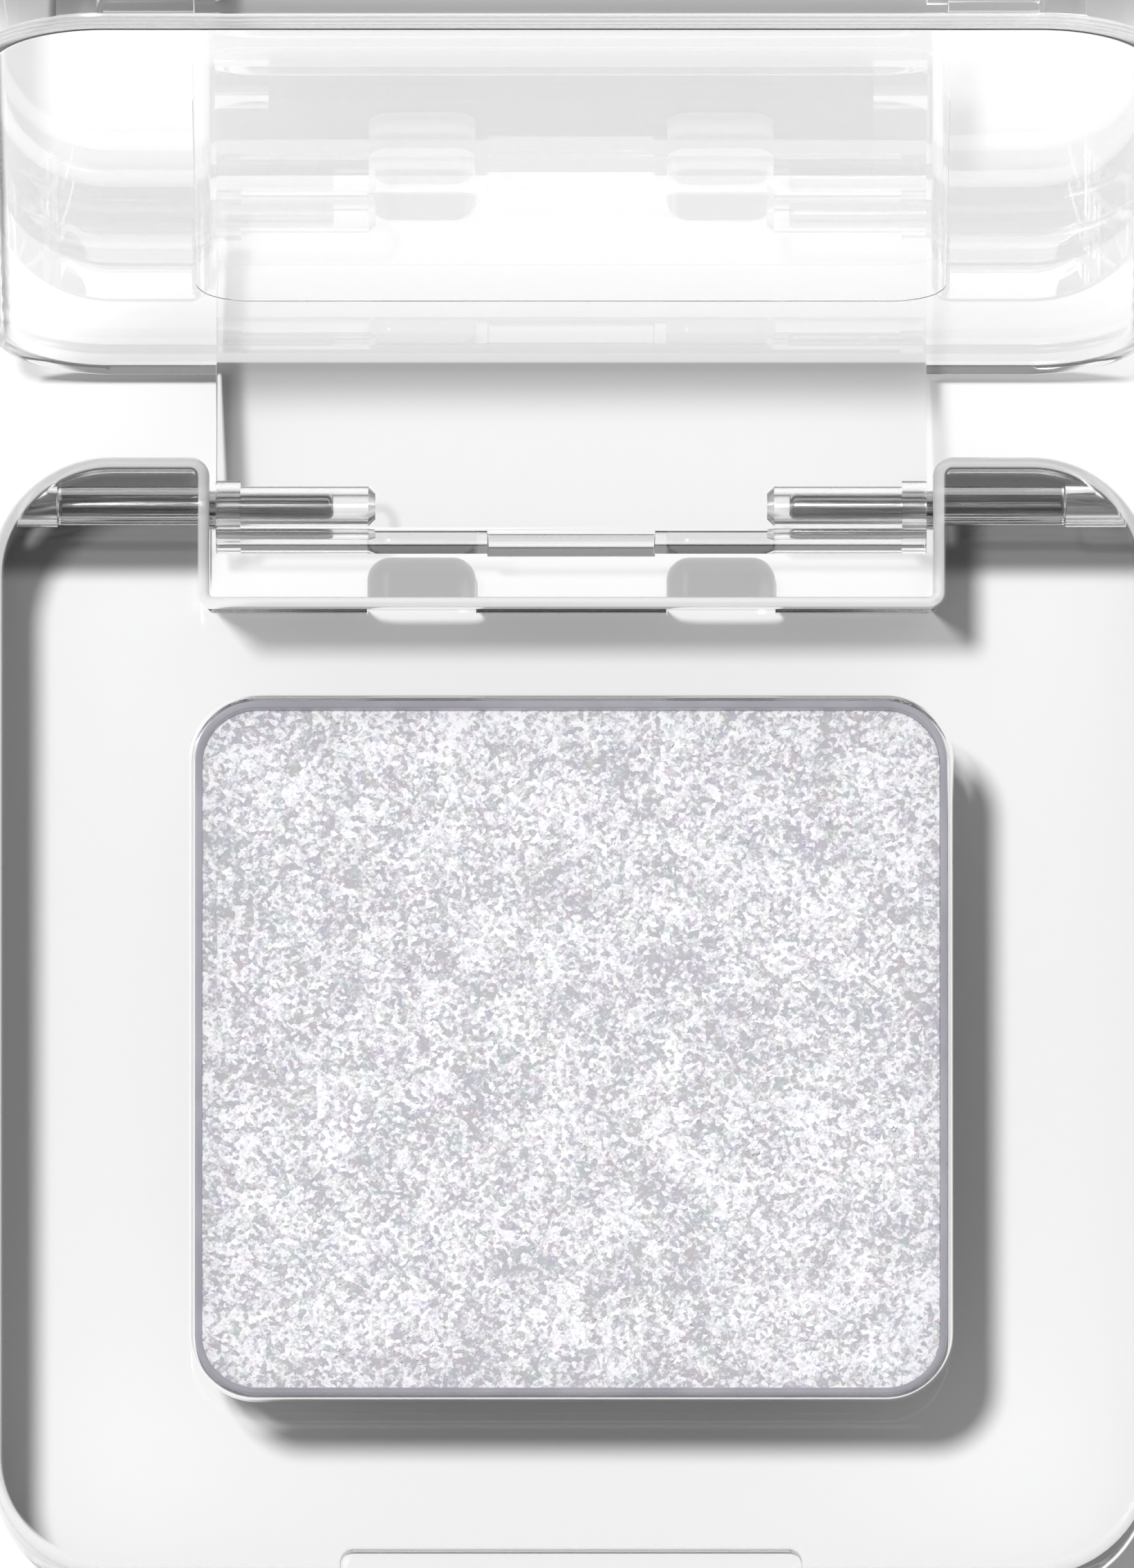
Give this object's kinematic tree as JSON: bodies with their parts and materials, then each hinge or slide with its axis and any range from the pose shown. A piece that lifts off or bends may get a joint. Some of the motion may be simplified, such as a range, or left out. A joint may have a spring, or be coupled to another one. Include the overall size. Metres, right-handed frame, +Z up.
{
  "type": "eyeshadow palette",
  "caption": "Small square compact: thick clear base holding a metal pan of pressed powder, with a clear slab lid on a pinned rear hinge.",
  "frame": {"origin": "centre of the base's bottom face, on the surface that the compact stands on", "axes": "+X to the right, +Y to the back where the lid hinges, +Z up"},
  "size_m": [0.0414, 0.0544, 0.0397],
  "materials": {
    "clear_case": "crystal clear, polished",
    "clear_lid": "crystal clear, polished",
    "pin_steel": "drawn wire",
    "pan_metal": "satin, drawn",
    "glitter_powder": "pressed powder with silver-white flakes",
    "adhesive": "soft translucent glue"
  },
  "bodies": {
    "case": {"base": "clear_case", "left_hinge_pin": "pin_steel", "right_hinge_pin": "pin_steel", "powder_pan": "pan_metal", "pressed_powder": "glitter_powder", "pan_adhesive": "adhesive"},
    "cover": {"lid": "clear_lid"}
  },
  "joints": [
    {"name": "lid_hinge", "type": "hinge", "parent": "case", "child": "cover", "pos_m": [0, 0.01855, 0.0033], "axis": [1, 0, 0], "range_deg": [0, 102.4]}
  ]
}
